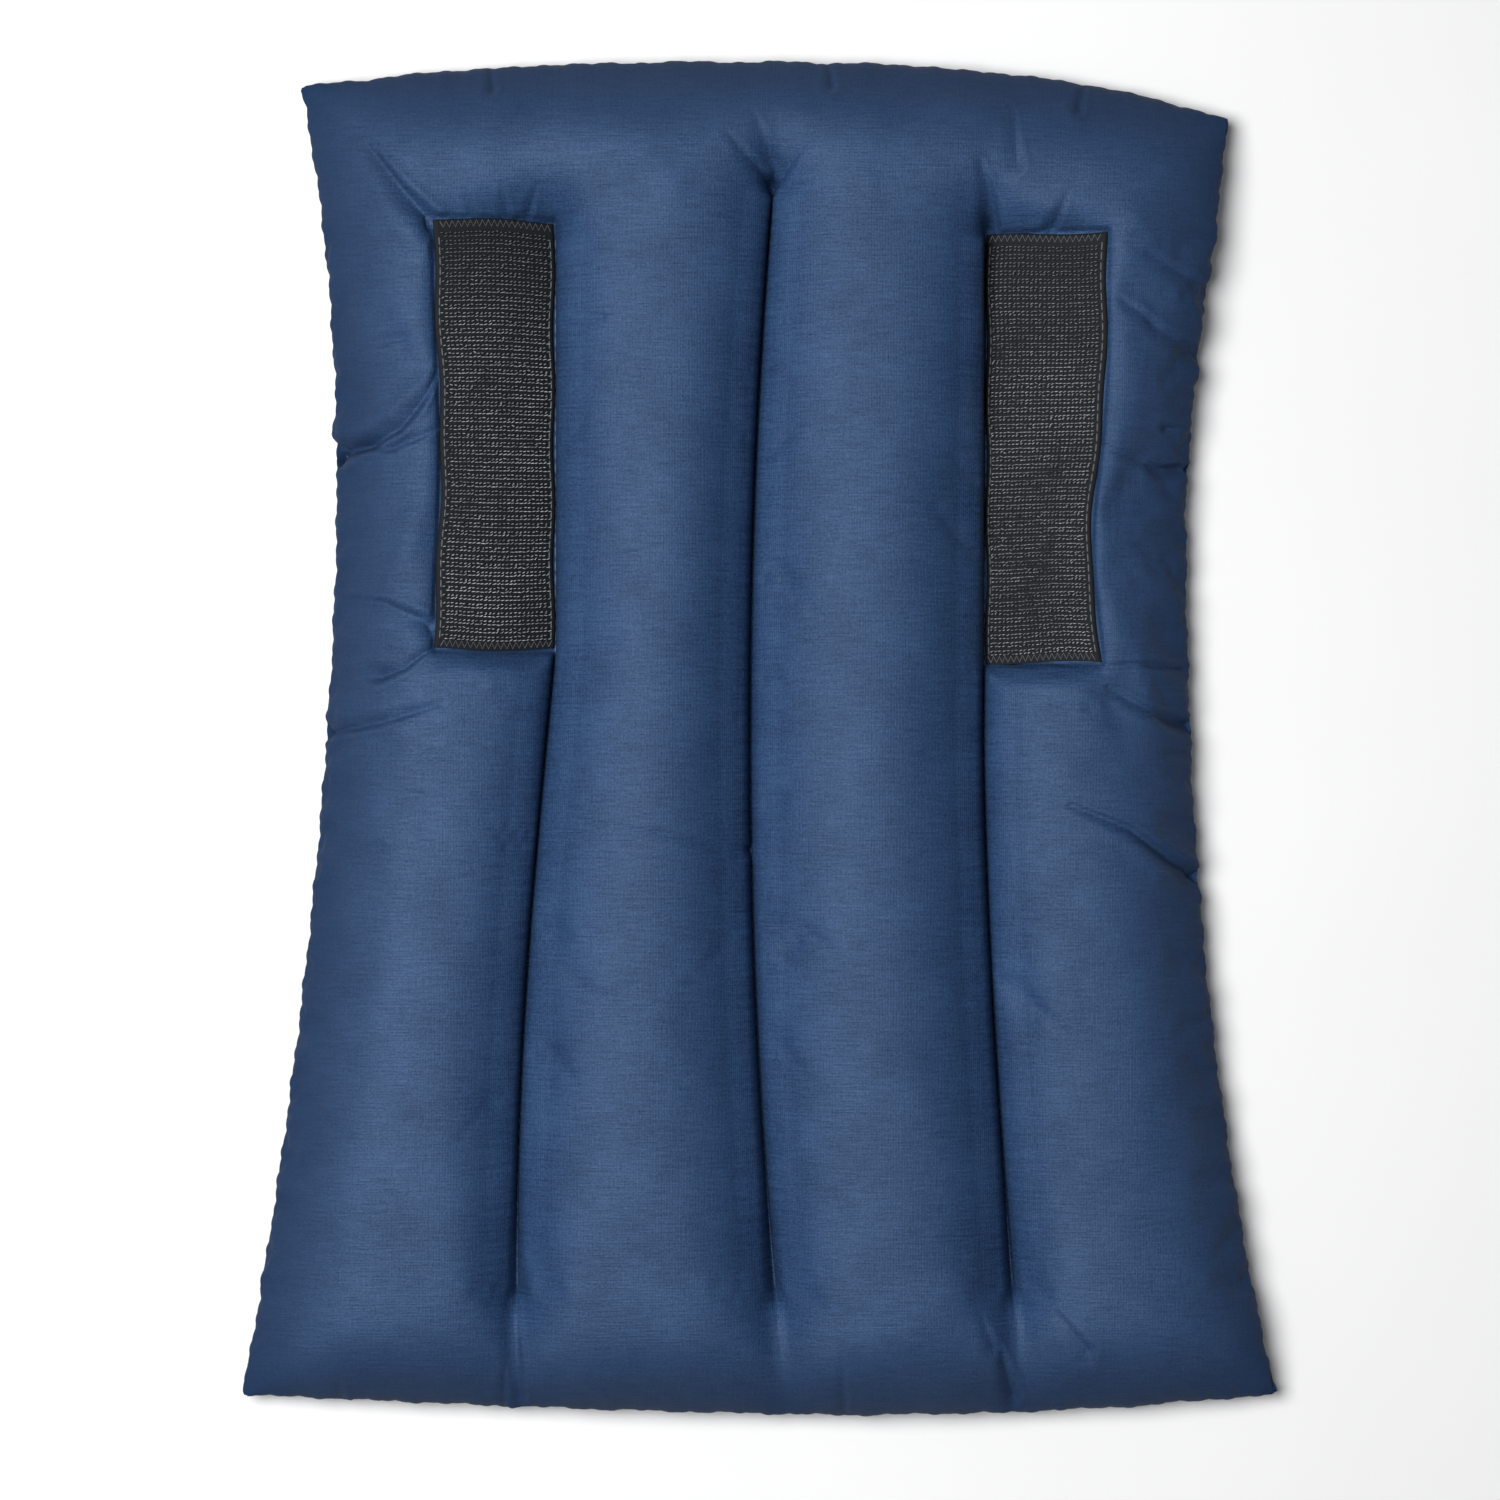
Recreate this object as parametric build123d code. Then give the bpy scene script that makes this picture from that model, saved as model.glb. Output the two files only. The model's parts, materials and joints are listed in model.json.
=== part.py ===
from build123d import *
import math
import os

# A waisted, quilted foam pad. Two sheets of cloth are sewn together round the edge, and three
# lengthwise rows of stitches make four stuffed channels. A patch of hook tape is sewn to each
# outer channel. The pad lies on its back: +X is its right, +Y its narrow end, +Z its face.
# Each row of stitches is a fold, so each channel is a rigid body with its own pieces.

os.makedirs("parts", exist_ok=True)

# Outline, in millimetres.
end_y = 203.0
narrow_corner = (139.0, 190.0)
waist = (127.0, 75.0)
wide_corner = (155.0, -197.0)

# The three stitched folds, and how far their stitches reach.
left_fold_x = -60.5
centre_fold_x = 0.0
right_fold_x = 66.5
stitches_top_y = 166.0
stitches_bottom_y = -165.0

# Cloth, and the flat strip of doubled cloth that the stitches hold on each side of a fold.
cloth = 0.6
wall_inset = 0.85
seam_strip = 1.2
fold_gap = 0.25

# Height of every seam above the ground, and the slopes of the stuffed channels as steps of
# rise and lean from the vertical. The first lean leaves room for a fold of 60 degrees.
seam_z = 8.0
inner_face_steps = ((15.0, 33.0), (6.0, 50.0), (3.0, 68.0))
outer_face_steps = ((11.0, 33.0), (5.0, 50.0), (3.0, 68.0))
back_steps = ((5.0, 40.0), (3.0, 62.0))

# Hook tape: a woven backing with bare selvedges, and the hooks that stand on it.
tape_width = 38.0
tape_length = 128.0
tape_backing = 0.8
hook_height = 1.3
selvedge = 2.7
tape_end_margin = 2.5
tape_tilt = 22.0
left_tape_centre_y = 90.5
right_tape_centre_y = 86.5
tape_seat_flare = 16.0
tape_seat_margin = 0.5

# Sewing thread.
thread = 0.4
edge_thread_inset = 1.15
quilting_pitch = 4.2
tape_stitch_pitch = 3.2
stitch_share = 0.8
tape_stitch_inset = 1.35


def outline():
    """The pad's plan: bowed ends, and sides of two arcs that meet at the waist."""
    sides = []
    for side in (1, -1):
        at_waist = (side * waist[0], waist[1])
        to_narrow = (side * narrow_corner[0], narrow_corner[1])
        to_wide = (side * wide_corner[0], wide_corner[1])
        sides.append(TangentArc(at_waist, to_narrow, tangent=(0, 1)))
        sides.append(TangentArc(at_waist, to_wide, tangent=(0, -1)))
    narrow_x, narrow_y = narrow_corner
    wide_x, wide_y = wide_corner
    narrow_end = ThreePointArc((-narrow_x, narrow_y), (0, end_y), (narrow_x, narrow_y))
    wide_end = ThreePointArc((-wide_x, wide_y), (0, -end_y), (wide_x, wide_y))
    return make_face([narrow_end, wide_end, *sides])


def strip_of(plan, low_x, high_x):
    """The part of a plan between two lines that run along Y."""
    band = Pos((low_x + high_x) / 2, 0) * Rectangle(high_x - low_x, 4 * end_y)
    return plan & band


def crowned(plan, steps, direction):
    """A stuffed shape on a flat plan: its sections draw in as they rise, or fall for -1."""
    inset = 0.0
    height = seam_z
    sections = [Pos(0, 0, height) * plan]
    for rise, lean in steps:
        inset += rise * math.tan(math.radians(lean))
        height += direction * rise
        sections.append(Pos(0, 0, height) * offset(plan, amount=-inset))
    return loft([section.faces()[0] for section in sections], ruled=True)


def thinned(steps):
    """The same slopes on the inside of the cloth."""
    (first_rise, first_lean), *others = steps
    return ((first_rise - cloth, first_lean), *others)


def tape_plane(side):
    """Where a patch lies: its inner edge in the fold's crease, tilted up towards the edge."""
    fold_x = right_fold_x if side > 0 else left_fold_x
    centre_y = right_tape_centre_y if side > 0 else left_tape_centre_y
    inner_x = fold_x + side * (fold_gap + seam_strip)
    lean = math.radians(tape_tilt)
    centre_x = inner_x + side * tape_width / 2 * math.cos(lean)
    centre_z = seam_z + cloth + tape_width / 2 * math.sin(lean)
    x_dir = (math.cos(lean), 0, side * math.sin(lean))
    z_dir = (-side * math.sin(lean), 0, math.cos(lean))
    return Plane(origin=(centre_x, centre_y, centre_z), x_dir=x_dir, z_dir=z_dir)


def tape_seat(side, sink):
    """The flared dip that a patch presses into its channel, sunk by a cloth for the filling."""
    plane = tape_plane(side).offset(-sink)
    across = tape_width + 2 * tape_seat_margin
    along = tape_length + 2 * tape_seat_margin
    flare = 2 * tape_seat_flare
    floor = plane * Rectangle(across, along)
    mouth = plane.offset(tape_seat_flare) * Rectangle(across + flare, along + flare)
    return loft([floor.faces()[0], mouth.faces()[0]])


def channel(plan, low_x, high_x, face_steps, tape_side=0):
    """One stuffed channel: its face cloth, back cloth and filling."""
    puff_low = low_x + (seam_strip if low_x > -wide_corner[0] else 0)
    puff_high = high_x - (seam_strip if high_x < wide_corner[0] else 0)
    whole = strip_of(plan, low_x, high_x)
    puff = strip_of(plan, puff_low, puff_high)
    room = offset(puff, amount=-wall_inset)
    face_out = crowned(puff, face_steps, 1)
    face_in = crowned(room, thinned(face_steps), 1)
    back_out = crowned(puff, back_steps, -1)
    back_in = crowned(room, thinned(back_steps), -1)
    if tape_side:
        face_out -= tape_seat(tape_side, 0)
        face_in -= tape_seat(tape_side, cloth)
    face_out += extrude(Pos(0, 0, seam_z) * whole, amount=cloth)
    back_out += extrude(Pos(0, 0, seam_z) * whole, amount=-cloth)
    return face_out - face_in, back_out - back_in, face_in + back_in


def edge_thread(plan, low_x, high_x):
    """The thread of the edge seam, just inside the cloth, along one channel's share of it."""
    outer = offset(plan, amount=-edge_thread_inset)
    inner = offset(plan, amount=-edge_thread_inset - thread)
    ring = strip_of(outer - inner, low_x + 2 * seam_strip, high_x - 2 * seam_strip)
    return extrude(Pos(0, 0, seam_z - thread / 2) * ring, amount=thread)


def stitch_row(start, end, pitch):
    """Separate stitches in a row, lying on the XY plane."""
    run = Vector(*end) - Vector(*start)
    count = round(run.length / pitch)
    turn = math.degrees(math.atan2(run.Y, run.X))
    stitches = []
    for number in range(count):
        centre = Vector(*start) + run * ((number + 0.5) / count)
        stitch = Box(pitch * stitch_share, thread, thread)
        stitches.append(Pos(centre.X, centre.Y, thread / 2) * Rot(0, 0, turn) * stitch)
    return stitches


def quilting(fold_x, direction):
    """A fold's row of stitches on the seam strip beside it, on the face or on the back."""
    x = fold_x - (fold_gap + seam_strip / 2) * (1 if fold_x >= 0 else -1)
    row = stitch_row((x, stitches_bottom_y, 0), (x, stitches_top_y, 0), quilting_pitch)
    height = seam_z + cloth if direction > 0 else seam_z - cloth - thread
    return Compound(children=[Pos(0, 0, height) * stitch for stitch in row])


def tape_outline_stitches(side, depth):
    """The row of stitches round a patch, at a depth below its face side."""
    half_x = tape_width / 2 - tape_stitch_inset
    half_y = tape_length / 2 - tape_stitch_inset
    corners = [(-half_x, -half_y, 0), (half_x, -half_y, 0), (half_x, half_y, 0), (-half_x, half_y, 0)]
    stitches = []
    for here, there in zip(corners, corners[1:] + corners[:1]):
        stitches += stitch_row(here, there, tape_stitch_pitch)
    place = tape_plane(side).offset(depth)
    return Compound(children=[place * stitch for stitch in stitches])


def hook_tape(side):
    """A patch of hook tape: backing, and a raised field of hooks between its selvedges."""
    place = tape_plane(side)
    upright = (Align.CENTER, Align.CENTER, Align.MIN)
    backing = Box(tape_width, tape_length, tape_backing, align=upright)
    field_width = tape_width - 2 * selvedge
    field_length = tape_length - 2 * tape_end_margin
    field = Box(field_width, field_length, hook_height, align=upright)
    return place * (backing + Pos(0, 0, tape_backing) * field)


def write(node, shape):
    """One STEP file for each node."""
    export_step(shape, f"parts/{node}.step")


pad_plan = outline()
edge = wide_corner[0]
spans = {
    "outer_left": (-edge, left_fold_x - fold_gap, outer_face_steps, -1),
    "inner_left": (left_fold_x + fold_gap, centre_fold_x - fold_gap, inner_face_steps, 0),
    "inner_right": (centre_fold_x + fold_gap, right_fold_x - fold_gap, inner_face_steps, 0),
    "outer_right": (right_fold_x + fold_gap, edge, outer_face_steps, 1),
}

for place, (low_x, high_x, steps, tape_side) in spans.items():
    face_cloth, back_cloth, filling = channel(pad_plan, low_x, high_x, steps, tape_side)
    seam_thread = edge_thread(pad_plan, low_x, high_x)
    filling -= seam_thread
    if tape_side:
        side_name = "right" if tape_side > 0 else "left"
        under_thread = tape_outline_stitches(tape_side, -cloth - thread)
        filling -= under_thread
        write(f"{side_name}_hook_tape", hook_tape(tape_side))
        write(f"{side_name}_tape_needle_thread", tape_outline_stitches(tape_side, tape_backing))
        write(f"{side_name}_tape_bobbin_thread", under_thread)
    write(f"{place}_face_cloth", face_cloth)
    write(f"{place}_back_cloth", back_cloth)
    write(f"{place}_filling", filling)
    write(f"{place}_edge_seam_thread", seam_thread)

for fold, fold_x in (("left", left_fold_x), ("centre", centre_fold_x), ("right", right_fold_x)):
    write(f"{fold}_quilting_needle_thread", quilting(fold_x, 1))
    write(f"{fold}_quilting_bobbin_thread", quilting(fold_x, -1))
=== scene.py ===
import json
import math
import random

import bpy
import numpy as np
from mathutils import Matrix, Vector


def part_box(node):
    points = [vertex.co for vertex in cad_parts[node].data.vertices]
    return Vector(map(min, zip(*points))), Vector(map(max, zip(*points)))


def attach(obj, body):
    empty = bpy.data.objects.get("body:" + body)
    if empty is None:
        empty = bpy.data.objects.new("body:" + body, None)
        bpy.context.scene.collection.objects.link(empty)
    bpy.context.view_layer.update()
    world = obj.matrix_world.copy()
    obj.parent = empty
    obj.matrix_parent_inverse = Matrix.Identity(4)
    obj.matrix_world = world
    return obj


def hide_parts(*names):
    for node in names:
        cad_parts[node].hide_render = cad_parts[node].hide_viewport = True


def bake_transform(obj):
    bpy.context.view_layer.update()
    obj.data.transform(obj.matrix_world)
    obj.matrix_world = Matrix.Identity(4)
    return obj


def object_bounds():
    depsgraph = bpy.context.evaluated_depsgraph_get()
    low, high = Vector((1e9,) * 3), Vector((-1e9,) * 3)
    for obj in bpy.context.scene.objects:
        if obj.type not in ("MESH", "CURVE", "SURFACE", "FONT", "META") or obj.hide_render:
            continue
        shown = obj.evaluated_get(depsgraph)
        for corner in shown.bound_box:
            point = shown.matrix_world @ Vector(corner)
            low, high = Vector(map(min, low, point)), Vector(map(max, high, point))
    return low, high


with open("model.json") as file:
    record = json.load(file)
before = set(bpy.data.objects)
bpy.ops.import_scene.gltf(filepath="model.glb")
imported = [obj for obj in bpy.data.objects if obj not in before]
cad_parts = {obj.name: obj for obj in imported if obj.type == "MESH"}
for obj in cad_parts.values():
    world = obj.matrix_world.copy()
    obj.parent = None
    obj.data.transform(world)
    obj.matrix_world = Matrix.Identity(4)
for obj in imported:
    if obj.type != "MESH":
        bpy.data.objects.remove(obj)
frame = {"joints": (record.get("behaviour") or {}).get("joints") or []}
cad_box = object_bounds()

# --- Face cloth ------------------------------------------------------------------------------
# One cut panel of blue plain-weave poly-cotton. It is sewn to the back cloth right sides
# together, turned, stuffed, and stitched through along three lines, so it stands up in four
# crowned channels that run together again short of each end.

MM = 0.001
fold_x = {joint["name"]: joint["pos_m"][0] for joint in frame["joints"]}
tape_box = {name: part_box(f"{name}_hook_tape") for name in ("left", "right")}
stitches_low, stitches_high = (corner[1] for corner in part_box("left_quilting_needle_thread"))
pad_low, pad_high = (np.array(corner) for corner in cad_box)

seam_height = 9.0 * MM
quilt_height = 7.5 * MM
inner_crown = 30.5 * MM
outer_crown = 28.0 * MM
end_crown = 29.3 * MM
end_slope = 35.0 * MM
outer_top_share = 0.6
side_stitches_high = 152.0 * MM


def bow(distance, reach, rise, power):
    """How far a bowed edge has moved at a distance from its deepest or highest point."""
    return rise * np.clip(distance / reach, 0, 1.2) ** power


def smooth(start, end, value):
    """0 before start, 1 after end, and a soft step between."""
    share = np.clip((value - start) / (end - start), 0, 1)
    return share * share * (3 - 2 * share)


def left_edge(y):
    return -0.1268 - bow(0.072 - y, 0.269, 28.3 * MM, 1.7) - bow(y - 0.072, 0.123, 10.6 * MM, 2.2)


def right_edge(y):
    return 0.1276 + bow(0.067 - y, 0.262, 26.6 * MM, 2.25) + bow(y - 0.067, 0.118, 12.8 * MM, 1.25)


def top_edge(x):
    return 0.2026 - bow(-0.018 - x, 0.119, 7.5 * MM, 2.0) - bow(x + 0.018, 0.158, 17.4 * MM, 2.8)


def bottom_edge(x):
    return -0.2028 + bow(0.027 - x, 0.182, 6.2 * MM, 1.5) + bow(x - 0.027, 0.127, 6.2 * MM, 2.0)


def left_line(y):
    swing = np.sin(np.clip((0.026 - y) / 0.185, 0, 1) * math.pi / 2)
    return fold_x["left_fold"] - 0.9 * MM - 11.5 * MM * swing


def centre_line(y):
    return fold_x["centre_fold"] - 3.0 * MM + 7.5 * MM * ((y - 0.003) / 0.168) ** 2


def right_line(y):
    return fold_x["right_fold"] + 0.6 * MM + bow(-y, 0.150, 7.5 * MM, 1.5) + bow(y, 0.155, 1.2 * MM, 1.0)


channel_lines = (left_edge, left_line, centre_line, right_line, right_edge)
channel_cells = (28, 22, 22, 26)
channel_crowns = np.array((outer_crown, inner_crown, inner_crown, outer_crown))
row_cells = 136
crowding = 0.4
line_columns = np.cumsum((0, *channel_cells))


def cloth_plan(refined):
    """The pad's plan as a grid of knots, closer beside the seams: x, y, channel, share across it."""
    cells = [count * refined for count in channel_cells]
    along = np.linspace(0, 1, row_cells * refined + 1)[:, None]
    level = pad_low[1] + (pad_high[1] - pad_low[1]) * along
    x_parts, channels, shares = [], [], []
    for number, count in enumerate(cells):
        share = np.arange(count + (number == len(cells) - 1)) / count
        share = share - crowding * np.sin(2 * math.pi * share) / (2 * math.pi)
        start, end = channel_lines[number](level), channel_lines[number + 1](level)
        x_parts.append(start + (end - start) * share)
        channels.append(np.full(len(share), number))
        shares.append(share)
    x = np.hstack(x_parts)
    y = bottom_edge(x) + (top_edge(x) - bottom_edge(x)) * along
    channel = np.broadcast_to(np.concatenate(channels), x.shape)
    share = np.broadcast_to(np.concatenate(shares), x.shape)
    return x, y, channel, share


tape_lean = math.radians(22)
tape_width = 38.0 * MM
tape_bulge = 1.6 * MM
tape_margin = 3.5 * MM
tape_pull = {"left": (2.2 * MM, 0.45, 0.3), "right": (4.6 * MM, 0.27, 0.26)}
tape_plan = {
    name: {
        "side": side,
        "inner": box[0][0] if side > 0 else box[1][0],
        "low": box[0][1],
        "high": box[1][1],
    }
    for (name, box), side in zip(tape_box.items(), (-1, 1))
}


def tape_reach(name, along):
    """Plan width of a patch at a share of its length: its outer edge is pulled in at one place."""
    pull, middle, reach = tape_pull[name]
    return tape_width * math.cos(tape_lean) - pull * np.exp(-(((along - middle) / reach) ** 2))


def tape_lie(name, x):
    """Height of the cloth under a patch: low in the crease beside the fold, rising outwards."""
    plan = tape_plan[name]
    out = (x - plan["inner"]) * plan["side"]
    share = np.clip(out / (tape_width * math.cos(tape_lean)), 0, 1)
    return quilt_height + 1.2 * MM + out * math.tan(tape_lean) + tape_bulge * 4 * share * (1 - share)


def under_tape(name, x, y, margin):
    """1 under a patch, falling to 0 over a soft margin round it."""
    plan = tape_plan[name]
    low, high = plan["low"], plan["high"]
    out = (x - plan["inner"]) * plan["side"]
    width = tape_reach(name, (y - low) / (high - low))
    across = smooth(-1 * MM, 0, out) * (1 - smooth(width, width + margin, out))
    return across * smooth(low - margin, low, y) * (1 - smooth(high, high + margin, y))


def last_stitch(x):
    """Where the quilting stops near the narrow end: beside the patches, it stops at their tops."""
    return np.where(np.abs(x) > fold_x["right_fold"] / 2, side_stitches_high, stitches_high)


def valley(x, y):
    """Height of the folds: down at the quilting, and almost level past the last stitches."""
    beyond_low = smooth(-2 * MM, 26 * MM, stitches_low - y)
    beyond_high = smooth(-3 * MM, 20 * MM, y - last_stitch(x))
    return quilt_height + (end_crown - quilt_height) * (0.5 * beyond_low + beyond_high)


def to_nearest_end(x, y):
    return np.minimum(top_edge(x) - y, y - bottom_edge(x))


def stuffed_height(x, y, channel, share):
    """The stuffed shape of the face, before the cloth settles."""
    fold_low = valley(x, y)
    low_left = np.where(channel == 0, seam_height, fold_low)
    low_right = np.where(channel == 3, seam_height, fold_low)
    low = low_left + (low_right - low_left) * share
    from_outside = np.where(channel == 0, share, 1 - share)
    outer = (channel == 0) | (channel == 3)
    top_share = np.where(outer, outer_top_share, 0.5)
    slope_side = outer & (from_outside < top_share)
    climbed = from_outside / top_share
    come_down = (1 - from_outside) / (1 - top_share)
    across = np.where(from_outside < top_share, climbed, come_down)
    roundness = np.where(slope_side, 2.2, 2.5)
    steepness = np.where(slope_side, 0.75, 0.52)
    rise = (1 - (1 - across) ** roundness) ** steepness
    section = low + (channel_crowns[channel] - low) * rise
    for name in tape_plan:
        section = section + (tape_lie(name, x) - section) * under_tape(name, x, y, tape_margin)
    end = (1 - (1 - np.clip(to_nearest_end(x, y) / end_slope, 0, 1)) ** 2.5) ** 0.66
    return seam_height + (section - seam_height) * end


def add_piece(name, points, faces):
    mesh = bpy.data.meshes.new(name)
    mesh.from_pydata(np.asarray(points).reshape(-1, 3).tolist(), [], faces)
    piece = bpy.data.objects.new(name, mesh)
    bpy.context.scene.collection.objects.link(piece)
    for polygon in mesh.polygons:
        polygon.use_smooth = True
    return piece


def cells_of(rows, columns, flipped=False):
    """Square faces for a grid of knots, row after row."""
    faces = []
    for row in range(rows - 1):
        for here in range(row * columns, row * columns + columns - 1):
            ring = (here, here + 1, here + 1 + columns, here + columns)
            faces.append(ring[::-1] if flipped else ring)
    return faces


def settle(points, held, tight, growth, pressure, frames, flipped=False):
    """Lets the cloth swell between the stitches that hold it, and returns the shape it takes."""
    rows, columns = points.shape[:2]
    piece = add_piece("settling_cloth", points, cells_of(rows, columns, flipped))
    for name, weights in (("held", held), ("tight", tight)):
        group = piece.vertex_groups.new(name=name)
        for knot, weight in enumerate(weights.ravel()):
            group.add([knot], float(weight), "REPLACE")
    cloth = piece.modifiers.new("Cloth", "CLOTH")
    settings = cloth.settings
    settings.quality = 6
    settings.mass = 0.25
    settings.air_damping = 3
    settings.tension_stiffness = settings.compression_stiffness = 25
    settings.tension_damping = settings.compression_damping = 15
    settings.shear_stiffness = 8
    settings.shear_damping = 10
    settings.bending_stiffness = 2.5
    settings.bending_damping = 0.5
    settings.vertex_group_mass = "held"
    settings.vertex_group_shrink = "tight"
    settings.shrink_min = -growth[1]
    settings.shrink_max = -growth[0]
    settings.use_pressure = True
    settings.uniform_pressure_force = pressure
    settings.effector_weights.gravity = 0
    cloth.collision_settings.use_collision = False
    cloth.point_cache.frame_start = 1
    cloth.point_cache.frame_end = frames
    for step in range(1, frames + 1):
        bpy.context.scene.frame_set(step)
    shape = piece.evaluated_get(bpy.context.evaluated_depsgraph_get()).to_mesh()
    settled = np.zeros(rows * columns * 3)
    shape.vertices.foreach_get("co", settled)
    bpy.context.scene.frame_set(1)
    bpy.data.objects.remove(piece)
    return settled.reshape(points.shape)


def finer(knots, axis):
    """Doubles a grid along one axis, with new knots on a smooth curve through the old ones."""
    knots = np.moveaxis(knots, axis, 0)
    before = np.concatenate([2 * knots[:1] - knots[1:2], knots[:-2]])
    after = np.concatenate([knots[2:], 2 * knots[-1:] - knots[-2:-1]])
    middle = (9 * (knots[:-1] + knots[1:]) - before - after) / 16
    result = np.empty((2 * len(knots) - 1, *knots.shape[1:]))
    result[0::2] = knots
    result[1::2] = middle
    return np.moveaxis(result, 0, axis)


def finer_cloth(points):
    """A grid four times as fine both ways, still creased along the quilted lines."""
    parts = []
    for start, end in zip(line_columns[:-1], line_columns[1:]):
        part = finer(finer(points[:, start : end + 1], 1), 1)
        parts.append(part if end == line_columns[-1] else part[:, :-1])
    return finer(finer(np.concatenate(parts, 1), 0), 0)


def grid_normals(points):
    """Unit normals of a grid, pointing up for the face."""
    along = np.gradient(points, axis=0)
    sideways = np.gradient(points, axis=1)
    normal = np.cross(sideways, along)
    return normal / np.maximum(np.linalg.norm(normal, axis=2, keepdims=True), 1e-12)


plan_x, plan_y, channel, share = cloth_plan(1)
edge_knots = np.ones(plan_x.shape, bool)
edge_knots[1:-1, 1:-1] = False
line_knots = (share == 0) & (channel > 0) & (plan_y > stitches_low) & (plan_y < last_stitch(plan_x))


def near_patches(margin):
    """1 under both patches, falling to 0 over a margin round them, on the plan's knots."""
    return sum(under_tape(name, plan_x, plan_y, margin) for name in tape_plan)


# The cloth is loose beside the edge seam and the patches, and tight elsewhere.
loose_reach = 14 * MM
loose_by_patch = 18 * MM
patch_looseness = 0.8
past_inner_channels = 80 * MM
to_side = np.minimum(plan_x - left_edge(plan_y), right_edge(plan_y) - plan_x)
tightness = smooth(0, loose_reach, np.minimum(to_nearest_end(plan_x, plan_y), to_side))
beside_tape = near_patches(loose_by_patch) * (np.abs(plan_x) > past_inner_channels)
tightness = tightness * (1 - patch_looseness * beside_tape)

face_growth = (0.001, 0.026)
face_pressure = 4.0
face_frames = 30
taped_knots = near_patches(0.3 * MM) > 0.9
face_points = np.stack([plan_x, plan_y, stuffed_height(plan_x, plan_y, channel, share)], 2)
held_knots = edge_knots | line_knots | taped_knots
face_points = settle(face_points, held_knots, tightness, face_growth, face_pressure, face_frames)

fineness = 4
channel_press = 0.85
tape_press = 0.65
press_reach = 9.0 * MM
tape_press_reach = 12.0 * MM


def calmed(points, where, rounds):
    """Evens out a grid where there is no stitching to hold a crease in it."""
    for _ in range(rounds):
        even = points.copy()
        lengthwise = points[2:, 1:-1] + points[:-2, 1:-1]
        crosswise = points[1:-1, 2:] + points[1:-1, :-2]
        even[1:-1, 1:-1] = (lengthwise + crosswise) / 4
        points = points + (even - points) * where[..., None]
    return points


def stitched_share(x, y):
    """1 beside the quilting, and 0 past its ends."""
    return smooth(stitches_low, stitches_low + 4 * MM, y) * smooth(0, 4 * MM, last_stitch(x) - y)


def pressed(points):
    """Pushes neighbouring channels together above the stitches, and the cloth against the patches."""
    creased = smooth(stitches_low - 14 * MM, stitches_low + 40 * MM, fine_y)
    creased = creased * smooth(0, 6 * MM, last_stitch(fine_x) - fine_y)
    for name, plan in tape_plan.items():
        along = (points[..., 1] - plan["low"]) / (plan["high"] - plan["low"])
        past = (points[..., 0] - plan["inner"]) * plan["side"] - tape_reach(name, along)
        near = np.where(past > 0, np.clip(1 - past / tape_press_reach, 0, 1), 0) ** 1.5
        beside = smooth(-0.03, 0.01, along) * (1 - smooth(0.99, 1.03, along))
        points[..., 0] -= plan["side"] * past * near * tape_press * beside
    untaped = 1 - sum(under_tape(name, points[..., 0], points[..., 1], 2 * MM) for name in tape_plan)
    for line in channel_lines[1:-1]:
        away = points[..., 0] - line(points[..., 1])
        near = (1 - np.clip(np.abs(away) / press_reach, 0, 1)) ** 1.5
        points[..., 0] -= away * near * channel_press * untaped * creased
    return points


fine_x, fine_y, _, _ = cloth_plan(fineness)
face_points = calmed(face_points, smooth(0, 10 * MM, plan_y - last_stitch(plan_x)), 12)
face_points = calmed(face_points, smooth(0, 10 * MM, stitches_low - plan_y), 4)
from_lines = np.min([np.abs(plan_x - line(plan_y)) for line in channel_lines[1:-1]], 0)
beside_patch = np.clip(near_patches(12 * MM) - near_patches(0.5 * MM), 0, 1)
face_points = calmed(face_points, beside_patch * smooth(2 * MM, 7 * MM, from_lines), 4)
face_points = pressed(finer_cloth(face_points))

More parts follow.
